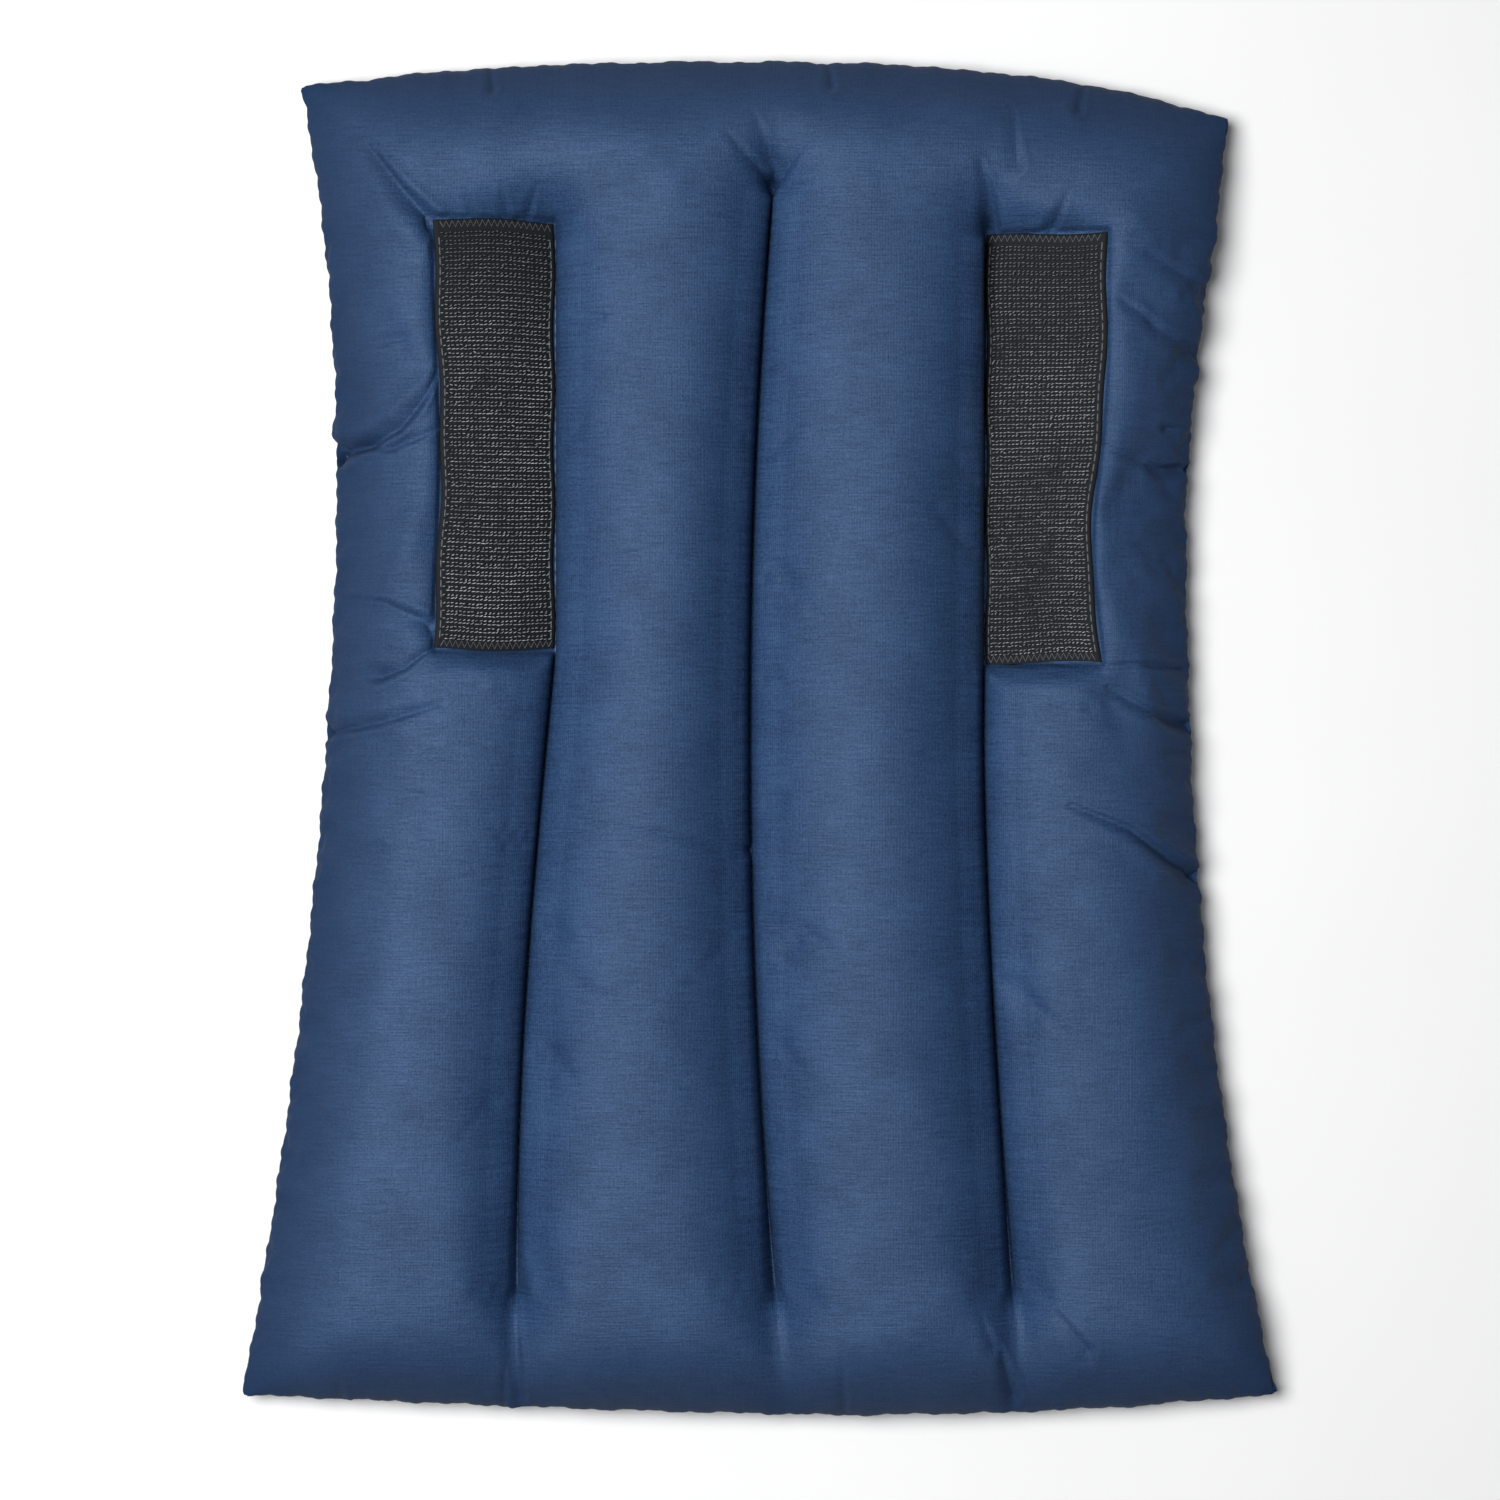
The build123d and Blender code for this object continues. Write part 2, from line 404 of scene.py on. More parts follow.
# Folds that the stuffing and the patches pull into the face: where each runs, from its thin tip
# to its deep end, in millimetres from the pad's middle, and how deep and how wide it is.
face_folds = (
    (((-117, 176), (-107, 163), (-98, 154)), 4.0, 3.6),
    (((-97, 108), (-108, 92), (-127, 83)), 4.6, 3.0),
    (((-97, 92), (-110, 86), (-125, 87)), 2.4, 2.2),
    (((-126, 42), (-112, 40), (-98, 33)), 2.4, 3.0),
    (((-97, 28), (-105, 21), (-113, 18)), 2.8, 2.6),
    (((-94, 10), (-111, 5), (-131, 1)), 2.6, 2.4),
    (((-125, -34), (-113, -32)), 0.7, 1.8),
    (((-109, -16), (-100, -17)), 0.6, 1.5),
    (((-87, 163), (-84, 154)), 0.9, 1.8),
    (((-76, 165), (-75, 156)), 0.7, 1.6),
    (((-66, 164), (-69, 155)), 0.9, 1.8),
    (((-9, 180), (3, 166)), 1.1, 2.4),
    (((13, 177), (5, 165)), 0.9, 2.2),
    (((-1, 186), (4, 172)), 0.9, 2.6),
    (((-56, -24), (-30, -28), (-4, -33)), 0.9, 1.6),
    (((-59, 127), (-47, 125)), 0.6, 1.3),
    (((66, 171), (69, 160), (70, 152)), 1.8, 2.6),
    (((75, 187), (76, 170)), 1.0, 2.4),
    (((91, 162), (87, 151)), 1.3, 2.0),
    (((109, 131), (120, 121), (131, 115)), 1.7, 2.8),
    (((111, 147), (133, 134)), 1.2, 2.8),
    (((104, 87), (121, 80), (129, 81)), 2.1, 2.0),
    (((104, 21.5), (115, 22), (126, 21)), 2.2, 1.5),
    (((104, 15), (116, 8), (128, 4)), 2.4, 2.4),
    (((92, -20), (110, -27), (130, -41)), 3.4, 2.4),
    (((-100, 120), (-112, 118)), 0.8, 2.0),
    (((24, -179), (25, -201)), 0.9, 2.0),
    (((66, -170), (70, -181)), 0.7, 2.0),
    (((88, -171), (97, -182)), 1.2, 2.6),
    (((-76, -188), (-77, -202)), 1.0, 2.2),
    (((-126, -188), (-125, -199)), 0.9, 2.2),
    (((-81, 202), (-79, 193)), 1.3, 1.6),
    (((20, 203), (21, 194)), 1.3, 1.6),
    (((98, 197), (95, 187)), 1.3, 1.6),
    (((129, 93), (122, 92)), 1.5, 1.4),
    (((72, -181), (76, -196)), 1.6, 2.6),
    (((-74, -166), (-72, -196)), 1.2, 2.6),
)


def fold_depth(x, y, folds):
    """How far the folds push the cloth in. Each deepens from its tip, steeper on its left side."""
    depth = np.zeros_like(x)
    for line, deep, wide in folds:
        knots = np.array(line) * MM
        runs = np.diff(knots, axis=0)
        lengths = np.linalg.norm(runs, axis=1)
        nearest = np.full(x.shape, 1.0)
        travelled = np.zeros_like(x)
        leftward = np.zeros_like(x)
        for number, (start, run) in enumerate(zip(knots[:-1], runs)):
            from_x, from_y = x - start[0], y - start[1]
            along = np.clip((from_x * run[0] + from_y * run[1]) / (run @ run), 0, 1)
            away = np.hypot(from_x - run[0] * along, from_y - run[1] * along)
            closer = away < nearest
            nearest = np.where(closer, away, nearest)
            gone = (lengths[:number].sum() + along * lengths[number]) / lengths.sum()
            travelled = np.where(closer, gone, travelled)
            left_of_run = (run[0] * from_y - run[1] * from_x) / lengths[number]
            leftward = np.where(closer, left_of_run, leftward)
        width = wide * MM * (0.35 + 0.45 * travelled) * (1 + 0.35 * np.tanh(-leftward / MM))
        groove = np.exp(-((nearest / width) ** 1.35))
        banks = 0.3 * np.exp(-(((nearest / width - 2.1) / 1.1) ** 2))
        depth += deep * MM * (groove - banks) * (0.2 + 0.8 * travelled)
    return depth


def distance_along(points):
    """Length walked along a row of points."""
    steps = np.linalg.norm(np.diff(points, axis=0), axis=1)
    return np.concatenate([[0], np.cumsum(steps)])


stitch_pitch = 4.2 * MM
edge_roll = 1.3 * MM
edge_roll_width = 3.2 * MM
edge_scallop = 0.28 * MM
scallop_reach = 2.5 * MM
edge_wave = 0.42 * MM
wave_reach = 5.0 * MM
stitch_pucker = 0.1 * MM
pucker_offset = 2.0 * MM
pucker_reach = 1.6 * MM


def edge_distance(x, y):
    """Distance to the edge seam, and the way straight out from it."""
    gaps = np.stack([x - left_edge(y), right_edge(y) - x, top_edge(x) - y, y - bottom_edge(x)])
    outward = np.array([(-1, 0), (1, 0), (0, 1), (0, -1)])[np.argmin(gaps, 0)]
    return np.min(gaps, 0), outward


def dress_cloth(points, normal, folds, roll):
    """Adds to a cloth its folds, the pucker of each stitch, and the roll beside the edge seam."""
    near, outward = edge_distance(fine_x, fine_y)
    points = points - normal * fold_depth(fine_x, fine_y, folds)[..., None]
    share_out = near / edge_roll_width
    rolled = roll * share_out * np.exp(1 - share_out)
    walked = np.where(outward[..., 0] != 0, fine_y, fine_x)
    scallop = edge_scallop * np.abs(np.sin(math.pi * walked / stitch_pitch)) * np.exp(-near / scallop_reach)
    uneven = np.sin(walked * 205 + 1) * np.sin(walked * 430 + fine_x * 9)
    wave = edge_wave * uneven * np.exp(-near / wave_reach)
    points[..., :2] += outward * (rolled + scallop + wave)[..., None]
    for line in channel_lines[1:-1]:
        beside = (np.abs(fine_x - line(fine_y)) - pucker_offset) / pucker_reach
        pucker = stitch_pucker * np.sin(2 * math.pi * fine_y / stitch_pitch) * np.exp(-(beside**2))
        points = points + normal * (pucker * stitched_share(fine_x, fine_y))[..., None]
    return points


face_points = dress_cloth(face_points, grid_normals(face_points), face_folds, edge_roll)

# No fold rises through a patch.
for name in tape_plan:
    beneath = smooth(0, 0.7, under_tape(name, face_points[..., 0], face_points[..., 1], 1.5 * MM))
    above = np.maximum(face_points[..., 2] - tape_lie(name, face_points[..., 0]), 0)
    face_points[..., 2] -= above * beneath

# One wide corner is blunt, where the turned seam wasn't poked right out.
blunt_corner = np.array((right_edge(pad_low[1]), bottom_edge(right_edge(pad_low[1]))))
blunt_depth = 1.4 * MM
blunt_reach = 4.5 * MM
from_corner = np.linalg.norm(face_points[..., :2] - blunt_corner, axis=2)
blunting = blunt_depth * np.exp(-((from_corner / blunt_reach) ** 2))
face_points[..., 0] -= blunting
face_points[..., 1] += blunting


class Wire:
    """A shader socket that can be reckoned with: 1 - wire, wire * 2 and so on add Math nodes."""

    def __init__(self, finish, socket):
        self.finish = finish
        self.socket = socket

    def maths(self, operation, *values):
        return self.finish.add("Math", {"operation": operation}, dict(enumerate(values)))

    def sine(self):
        return self.maths("SINE", self)

    def cosine(self):
        return self.maths("COSINE", self)

    def at_least(self, least):
        return self.maths("MAXIMUM", self, least)

    def at_most(self, most):
        return self.maths("MINIMUM", self, most)

    def __add__(self, other):
        return self.maths("ADD", self, other)

    def __sub__(self, other):
        return self.maths("SUBTRACT", self, other)

    def __rsub__(self, other):
        return self.maths("SUBTRACT", other, self)

    def __mul__(self, other):
        return self.maths("MULTIPLY", self, other)

    __radd__ = __add__
    __rmul__ = __mul__


class Finish:
    """A material and its nodes."""

    def __init__(self, name):
        self.material = bpy.data.materials.new(name)
        self.material.use_nodes = True
        self.tree = self.material.node_tree
        self.tree.nodes.clear()

    def add(self, kind, settings=(), sockets=(), output=0):
        """Makes a node: its settings first, then the values or wires of its sockets."""
        node = self.tree.nodes.new("ShaderNode" + kind)
        for key, value in dict(settings).items():
            setattr(node, key, value)
        for key, value in dict(sockets).items():
            if isinstance(value, Wire):
                self.tree.links.new(value.socket, node.inputs[key])
            else:
                node.inputs[key].default_value = value
        return Wire(self, node.outputs[output])

    def place(self, name):
        """A point attribute as a vector."""
        return self.add("Attribute", {"attribute_name": name}, output="Vector")

    def parts(self, vector):
        """The three numbers of a vector."""
        split = self.add("SeparateXYZ", sockets={"Vector": vector})
        outputs = split.socket.node.outputs
        return [Wire(self, outputs[axis]) for axis in "XYZ"]

    def noise(self, vector, scale, detail=2.0, stretch=(1, 1, 1)):
        """Noise from 0 to 1, drawn out along some axes."""
        drawn = self.add("VectorMath", {"operation": "MULTIPLY"}, {0: vector, 1: stretch})
        return self.add("TexNoise", sockets={"Vector": drawn, "Scale": scale, "Detail": detail})

    def mix(self, factor, first, second, blend_type="MIX"):
        """Two colours mixed."""
        settings = {"data_type": "RGBA", "blend_type": blend_type}
        return self.add("Mix", settings, {0: factor, 6: first, 7: second}, output=2)

    def surface(self, sockets, bump, bump_strength, bump_depth):
        """The shader itself, with a relief."""
        relief_sockets = {"Height": bump, "Strength": bump_strength, "Distance": bump_depth}
        relief = self.add("Bump", sockets=relief_sockets)
        shader = self.add("BsdfPrincipled", sockets={**sockets, "Normal": relief})
        self.add_output(shader)
        return self.material

    def add_output(self, shader):
        output = self.tree.nodes.new("ShaderNodeOutputMaterial")
        self.tree.links.new(shader.socket, output.inputs["Surface"])


yarn_pitch = 0.46
# Painted shade: the cloth's colour darkens towards the edge seam, up to 95% of the way to the dark yarn
# colour at the edge and fading out 27 mm in.
seam_shade = 0.95
seam_shade_reach = 27.0


def woven_cloth(name, dark, light, crown_highlight):
    """Plain weave with slubby yarns, faded a little unevenly, with painted highlight on the crowns of its
    yarns and painted shade darkening it towards its edge.
    """
    finish = Finish(name)
    cut = finish.place("cut")
    x, y, from_edge = finish.parts(cut)
    turn = math.pi / yarn_pitch
    over = (x * turn).cosine() * (y * turn).cosine() * 0.5 + 0.5
    warp = (x * turn).sine()
    weft = (y * turn).sine()
    weave = warp * warp * over + weft * weft * (1 - over)
    weft_slubs = finish.noise(cut, 1.0, 2.0, (0.12, 1.5, 0)) - 0.5
    warp_slubs = finish.noise(cut, 1.0, 2.0, (1.7, 0.14, 0)) - 0.5
    grain = finish.noise(cut, 1.4, 3.0, (1, 1, 0)) - 0.5
    patchy = finish.noise(cut, 0.05, 3.0, (1, 1, 0)) - 0.5
    tone = weft_slubs * 1.0 + warp_slubs * 0.45 + grain * 1.5 + patchy * 0.8 + 0.5
    yarn = finish.mix(tone, dark, light)
    # Painted highlight: the crowns of the yarns, where the weave stands highest, are drawn in a lighter
    # colour.
    woven = finish.mix(weave * 0.18, yarn, crown_highlight)
    # Painted shade towards the edge seam; the same share also makes the cloth rougher there.
    painted_edge_shade = (1 - from_edge * (1 / seam_shade_reach)) * seam_shade
    colour = finish.mix(painted_edge_shade, woven, dark)
    height = weave * 0.5 + weft_slubs * 1.0 + warp_slubs * 0.6 + grain
    sockets = {
        "Base Color": colour,
        "Roughness": 0.62 - tone * 0.08 + painted_edge_shade.at_least(0.0) * 0.3,
        "Specular IOR Level": 0.48,
        "Specular Tint": (0.66, 0.82, 1.0, 1),
    }
    return finish.surface(sockets, height, 0.8, 0.16 * MM)


# The third colour is the painted highlight on the yarn crowns.
blue_cloth = woven_cloth(
    "blue_cotton", (0.005, 0.021, 0.067, 1), (0.032, 0.075, 0.175, 1), (0.042, 0.092, 0.206, 1)
)

fold_reach = 15.0 * MM
strips = {
    "left": ("inner_left", "outer_left", "left_fold"),
    "centre": ("inner_left", "inner_right", "centre_fold"),
    "right": ("inner_right", "outer_right", "right_fold"),
}


def bend(piece, strip):
    """Bakes the piece's placement into its points. It doesn't fold: the ends of a fold line about one
    stitched line are reckoned and not used.
    """
    near, far, fold = strips[strip]
    way = -1 if strip == "left" else 1
    start = (fold_x[fold] - way * fold_reach, 0, seam_height)
    end = (fold_x[fold] + way * fold_reach, 0, seam_height)
    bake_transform(piece)


fine_lines = line_columns * fineness
left_middle = (fine_lines[1] + fine_lines[2]) // 2
right_middle = (fine_lines[2] + fine_lines[3]) // 2
strip_starts = (0, left_middle, right_middle, fine_lines[4])
strip_columns = dict(zip(strips, zip(strip_starts[:-1], strip_starts[1:])))


def add_place(piece, places):
    """Keeps where each point lay in the flat cloth, in millimetres, and how far from its edge."""
    attribute = piece.data.attributes.new("cut", "FLOAT_VECTOR", "POINT")
    attribute.data.foreach_set("vector", np.asarray(places, np.float32).ravel())


def cloth_strips(kind, points, flipped, material, replaced):
    """The cloth in three pieces that meet along the middle channels, shaded as one."""
    normals = grid_normals(points) * (-1 if flipped else 1)
    places = np.stack([fine_x, fine_y, edge_distance(fine_x, fine_y)[0]], 2) / MM
    for strip, (first, last) in strip_columns.items():
        part = slice(first, last + 1)
        rows, columns = points[:, part].shape[:2]
        piece = add_piece(f"{kind}_{strip}", points[:, part], cells_of(rows, columns, flipped))
        piece.data.normals_split_custom_set_from_vertices(normals[:, part].reshape(-1, 3).tolist())
        add_place(piece, places[:, part])
        piece.data.materials.append(material)
        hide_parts(*replaced[strip])
        bend(piece, strip)


cloth_stands_for = {
    "left": ["outer_left", "inner_left"],
    "centre": ["inner_left", "inner_right"],
    "right": ["inner_right", "outer_right"],
}


def nodes_named(kind):
    """The CAD nodes of one kind that each strip stands for."""
    return {strip: [f"{body}_{kind}" for body in bodies] for strip, bodies in cloth_stands_for.items()}


cloth_strips("face_cloth", face_points, False, blue_cloth, nodes_named("face_cloth"))

# --- Back cloth ------------------------------------------------------------------------------
# The second panel, cut from the same blue cloth. It lies on the ground, flat under each channel
# and drawn up where the quilting goes through, and it bulges past the edge seam.

back_floor = 0.1 * MM
back_roll = 2.2 * MM
back_end_slope = 14.0 * MM
back_growth = (0.003, 0.02)
back_pressure = 2.5
back_frames = 16
back_folds = (
    (((-120, 120), (-100, 112), (-80, 116)), 0.9, 3.0),
    (((-110, 20), (-90, 14)), 0.8, 2.6),
    (((-50, 60), (-20, 54)), 0.6, 2.4),
    (((10, -60), (50, -66)), 0.7, 2.4),
    (((85, 70), (115, 60)), 0.9, 3.0),
    (((90, -90), (125, -104)), 1.0, 3.0),
    (((-130, -120), (-95, -112)), 0.9, 3.0),
    (((-45, -140), (-15, -146)), 0.6, 2.4),
)


def back_height(x, y, channel, share):
    """The back before it settles: flat middles between the seams."""
    low_left = np.where(channel == 0, seam_height, quilt_height)
    low_right = np.where(channel == 3, seam_height, quilt_height)
    lifted = low_left + (low_right - low_left) * share
    beyond = np.maximum(stitches_low - y, y - stitches_high)
    across = (1 - np.abs(2 * share - 1) ** 5) ** 0.8
    inner_side = np.where(channel == 0, share > 0.5, np.where(channel == 3, share < 0.5, True))
    across = np.where(inner_side, across + (1 - across) * 0.8 * smooth(0, 20 * MM, beyond), across)
    end = (1 - (1 - np.clip(to_nearest_end(x, y) / back_end_slope, 0, 1)) ** 3) ** 0.7
    return lifted * (1 - across) * end + seam_height * (1 - end)


back_points = np.stack([plan_x, plan_y, back_height(plan_x, plan_y, channel, share)], 2)
held_knots = edge_knots | line_knots
back_points = settle(back_points, held_knots, tightness, back_growth, back_pressure, back_frames, True)
back_points[..., 2] = np.maximum(back_points[..., 2], 0)
back_points = finer_cloth(back_points)
back_points = dress_cloth(back_points, -grid_normals(back_points), back_folds, back_roll)
back_points[..., 2] = np.maximum(back_points[..., 2], 0) + back_floor
back_points[0], back_points[-1] = face_points[0], face_points[-1]
back_points[:, 0], back_points[:, -1] = face_points[:, 0], face_points[:, -1]
cloth_strips("back_cloth", back_points, True, blue_cloth, nodes_named("back_cloth"))

# --- Filling ---------------------------------------------------------------------------------
# Soft foam, one length in each channel, cut a little smaller than the channel and pushed in
# from the end before the last of the edge is closed. It doesn't show.

filling_inset = 0.2
filling_off_fold = fold_reach + 0.8 * MM
filling_spots = np.linspace(-1, 1, 9)
filling_clearance = (3.0 * MM, 1.0 * MM)
filling_end_rows = 36
filling_row_step = 6
filling_near = 6


def filling_ring(row, number):
    """One section of a filling: over the top of it and back underneath, clear of the folds."""
    first, last = fine_lines[number], fine_lines[number + 1]
    row_x = fine_x[row, first : last + 1]
    inset = filling_inset * (row_x[-1] - row_x[0])
    folds = (-1, *sorted(fold_x.values()), 1)
    low = max(row_x[0] + inset, folds[number] + filling_off_fold)
    high = min(row_x[-1] - inset, folds[number + 1] - filling_off_fold)
    columns = first + np.searchsorted(row_x, (low + high) / 2 + filling_spots * (high - low) / 2)
    top, bottom = face_points[row, columns], back_points[row, columns[::-1]]
    near = slice(row - filling_row_step, row + filling_row_step + 1)
    around = [slice(column - filling_near, column + filling_near + 1) for column in columns]
    lowest = [face_points[near, beside, 2].min() for beside in around]
    highest = [back_points[near, beside, 2].max() for beside in around[::-1]]
    domed = 1 - np.abs(filling_spots) ** 3 * 0.25
    top[:, 2] = seam_height + (np.array(lowest) - filling_clearance[0] - seam_height) * domed
    bottom[:, 2] = np.array(highest) + filling_clearance[1]
    return np.concatenate([top, bottom])


def ring_skin(rings):
    """Faces that join rings of equal size into a closed skin."""
    count, size = len(rings), len(rings[0])
    faces = []
    for ring in range(count - 1):
        for step in range(size):
            here, there = ring * size + step, ring * size + (step + 1) % size
            faces.append((here, there, there + size, here + size))
    faces.append(tuple(range(size))[::-1])
    faces.append(tuple(range((count - 1) * size, count * size)))
    return faces


def soft_foam():
    """Pale foam with an uneven, open-celled surface, darker in the hollows of its cells with painted shade.
    """
    finish = Finish("soft_foam")
    place = finish.add("TexCoord", output="Object")
    cells = finish.add("TexVoronoi", sockets={"Vector": place, "Scale": 900.0})
    blotch = finish.noise(place, 60.0, 3.0)
    # Painted shade: the colour darkens where the cells' relief is lowest.
    tone = cells * 0.5 + blotch * 0.5
    colour = finish.mix(tone, (0.62, 0.58, 0.48, 1), (0.86, 0.84, 0.78, 1))
    return finish.surface({"Base Color": colour, "Roughness": 0.85 + blotch * 0.1}, cells, 0.6, 0.4 * MM)


foam = soft_foam()
for number, body in enumerate(("outer_left", "inner_left", "inner_right", "outer_right")):
    sections = range(filling_end_rows, len(face_points) - filling_end_rows, filling_row_step)
    rings = [filling_ring(row, number) for row in sections]
    filling = add_piece(f"filling_{body}", np.concatenate(rings), ring_skin(rings))
    filling.data.materials.append(foam)
    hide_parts(f"{body}_filling")
    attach(filling, body)

# --- Edge seam thread ------------------------------------------------------------------------
# A lockstitched seam all round, made with the pad inside out, so that it lies just inside the
# turned edge and only its pull on the cloth shows.

edge_thread_inset = 1.3 * MM
edge_beyond = (120 * MM, 180 * MM)
thread_radius = 0.2 * MM


def tube(path, radius, sides=6, up=(0, 0, 1)):
    """Points and faces of a round, closed tube along a path."""
    path = np.asarray(path, float)
    along = np.gradient(path, axis=0)
    along /= np.maximum(np.linalg.norm(along, axis=1, keepdims=True), 1e-12)
    side = np.cross(along, up)
    side /= np.maximum(np.linalg.norm(side, axis=1, keepdims=True), 1e-12)
    over = np.cross(side, along)
    turns = np.arange(sides) * 2 * math.pi / sides
    ring = np.cos(turns)[:, None, None] * side + np.sin(turns)[:, None, None] * over
    points = path[:, None] + np.swapaxes(ring, 0, 1) * np.broadcast_to(radius, len(path))[:, None, None]
    return points.reshape(-1, 3), ring_skin(points)


def joined(shapes):
    """Many small shapes as the points and faces of one mesh."""
    points, faces, count = [], [], 0
    for shape_points, shape_faces in shapes:
        points.append(shape_points)
        faces += [tuple(knot + count for knot in face) for face in shape_faces]
        count += len(shape_points)
    return np.concatenate(points), faces


def twisted_thread(name, dark, light):
    """Spun polyester thread, a little shiny, with painted shade in the hollows of its twist."""
    finish = Finish(name)
    place = finish.add("TexCoord", output="Object")
    twist = finish.noise(place, 2600.0, 2.0, (1, 0.6, 1))
    fibre = finish.noise(place, 900.0, 2.0)
    # Painted shade: the colour darkens where the twist's relief is lowest.
    colour = finish.mix(twist * 0.7 + fibre * 0.3, dark, light)
    sockets = {"Base Color": colour, "Roughness": 0.45 + fibre * 0.25, "Sheen Weight": 0.15}
    return finish.surface(sockets, twist, 0.5, 0.08 * MM)


blue_thread = twisted_thread("blue_thread", (0.02, 0.05, 0.12, 1), (0.14, 0.22, 0.36, 1))


def edge_runs(strip):
    """The edge seam's knots that belong to a strip, as one or two runs."""
    first, last = strip_columns[strip]
    low, high = face_points[0, first : last + 1], face_points[-1, first : last + 1]
    if strip == "left":
        return [np.concatenate([low[::-1], face_points[1:-1, 0], high])]
    if strip == "right":
        return [np.concatenate([low, face_points[1:-1, -1], high[::-1]])]
    return [low, high]


for strip in strips:
    shapes = []
    for run in edge_runs(strip):
        inside = run.copy()
        for axis, beyond in enumerate(edge_beyond):
            at_edge = np.abs(run[:, axis]) > beyond
            inside[:, axis] -= np.sign(run[:, axis]) * edge_thread_inset * at_edge
        shapes.append(tube(inside[::2], thread_radius))
    seam = add_piece(f"edge_seam_thread_{strip}", *joined(shapes))
    seam.data.materials.append(blue_thread)
    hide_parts(*nodes_named("edge_seam_thread")[strip])
    bend(seam, strip)

# --- Quilting thread -------------------------------------------------------------------------
# Three rows of lockstitch through both cloths, sewn after the pad is turned. The needle thread
# lies in the crease of the face and the bobbin thread in the shallow groove of the back.

stitch_reach = 0.84
stitch_rise = 0.15 * MM
stitch_sink = 0.3 * MM


def stitches_on(line, pitch, rise, sink, up, radius=thread_radius):
    """Separate stitches along a line of points: each stands a little proud and dives at its ends."""
    walked = distance_along(line)
    count = int(walked[-1] / pitch)
    shapes = []
    for number in range(count):
        spots = (number + np.linspace((1 - stitch_reach) / 2, (1 + stitch_reach) / 2, 7)) * pitch
        path = np.stack([np.interp(spots, walked, line[:, axis]) for axis in range(3)], 1)
        lift = rise - (rise + sink) * np.abs(np.linspace(-1, 1, 7)) ** 4
        shapes.append(tube(path + np.outer(lift, up), radius))
    return shapes


def quilted_run(points, number, low, high):
    """A quilting line's knots between its first and last stitch."""
    line = points[:, fine_lines[number]]
    return line[(line[:, 1] > low) & (line[:, 1] < high)]


for number, strip in enumerate(strips, 1):
    high = stitches_high if strip == "centre" else side_stitches_high
    for spool, points, up in (("needle", face_points, 1.0), ("bobbin", back_points, -1.0)):
        run = quilted_run(points, number, stitches_low, high)
        stitches = stitches_on(run, stitch_pitch, stitch_rise, stitch_sink, (0, 0, up))
        quilting = add_piece(f"quilting_{spool}_thread_{strip}", *joined(stitches))
        quilting.data.materials.append(blue_thread)
        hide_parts(f"{strip}_quilting_{spool}_thread")
        bend(quilting, strip)

# --- Hook tape -------------------------------------------------------------------------------
# Two patches of woven nylon hook tape, cut to length and sewn to the face before the pad is
# made up. Bare selvedges run down the long sides, and the hooks between them are single
# filaments woven in staggered rows, cut and bent over.

tape_length = tape_plan["left"]["high"] - tape_plan["left"]["low"]
tape_thick = 0.8 * MM
tape_gap = 0.12 * MM
selvedge = 2.0 * MM
end_margin = 2.2 * MM


def tape_point(name, across, along, up=0.0):
    """A place on a patch: 0 to 1 outwards from the crease, 0 to 1 up its length, and height."""
    plan = tape_plan[name]
    side = plan["side"]
    ripple = 0.35 * MM * np.sin(along * 23 + across * 3) * (2 * across - 1)
    out = across * tape_reach(name, along) + ripple
    x = plan["inner"] + side * (out + 0.3 * MM)
    sway = 0.5 * MM * np.sin(across * 5.2 + side) * (2 * along - 1)
    y = plan["low"] + (plan["high"] - plan["low"]) * along + sway
    z = tape_lie(name, x) + tape_gap
    point = np.stack(np.broadcast_arrays(x, y, z), -1)
    lean = np.array((-side * math.sin(tape_lean), 0, math.cos(tape_lean)))
    return point + lean * np.asarray(up)[..., None]


def slab(top, bottom):
    """A closed sheet between two grids of the same size."""
    rows, columns = top.shape[:2]
    count = rows * columns
    faces = cells_of(rows, columns)
    faces += [tuple(knot + count for knot in face[::-1]) for face in faces]
    rim = list(range(columns))
    rim += [row * columns + columns - 1 for row in range(1, rows)]
    rim += [(rows - 1) * columns + column for column in range(columns - 2, -1, -1)]
    rim += [row * columns for row in range(rows - 2, 0, -1)]
    for here, there in zip(rim, rim[1:] + rim[:1]):
        faces.append((there, here, here + count, there + count))
    return np.concatenate([top.reshape(-1, 3), bottom.reshape(-1, 3)]), faces


hook_column_pitch = 1.36 * MM
hook_row_pitch = 1.2 * MM
ground_rib = 0.13 * MM
selvedge_rib = 0.08 * MM
selvedge_rib_pitch = 0.62 * MM
tape_cells = (56, 400)


def tape_relief(across, along):
    """Height of the woven ground: ribs under the hooks, and cords along the selvedges."""
    across_tape, along_tape = across * tape_width, along * tape_length
    to_selvedge = np.minimum(across_tape, tape_width - across_tape)
    in_field = smooth(selvedge - 0.3 * MM, selvedge, to_selvedge)
    ribs = ground_rib * np.cos(2 * math.pi * along_tape / hook_row_pitch)
    cords = selvedge_rib * np.cos(2 * math.pi * across_tape / selvedge_rib_pitch)
    weave = 0.04 * MM * np.sin(2 * math.pi * along_tape / (0.9 * MM)) * (1 - in_field)
    to_cut_end = np.minimum(along_tape, tape_length - along_tape)
    border = np.minimum(to_selvedge, to_cut_end)
    rounded = -0.3 * MM * (1 - smooth(0, 0.7 * MM, border))
    return ribs * in_field + cords * (1 - in_field) + weave + rounded


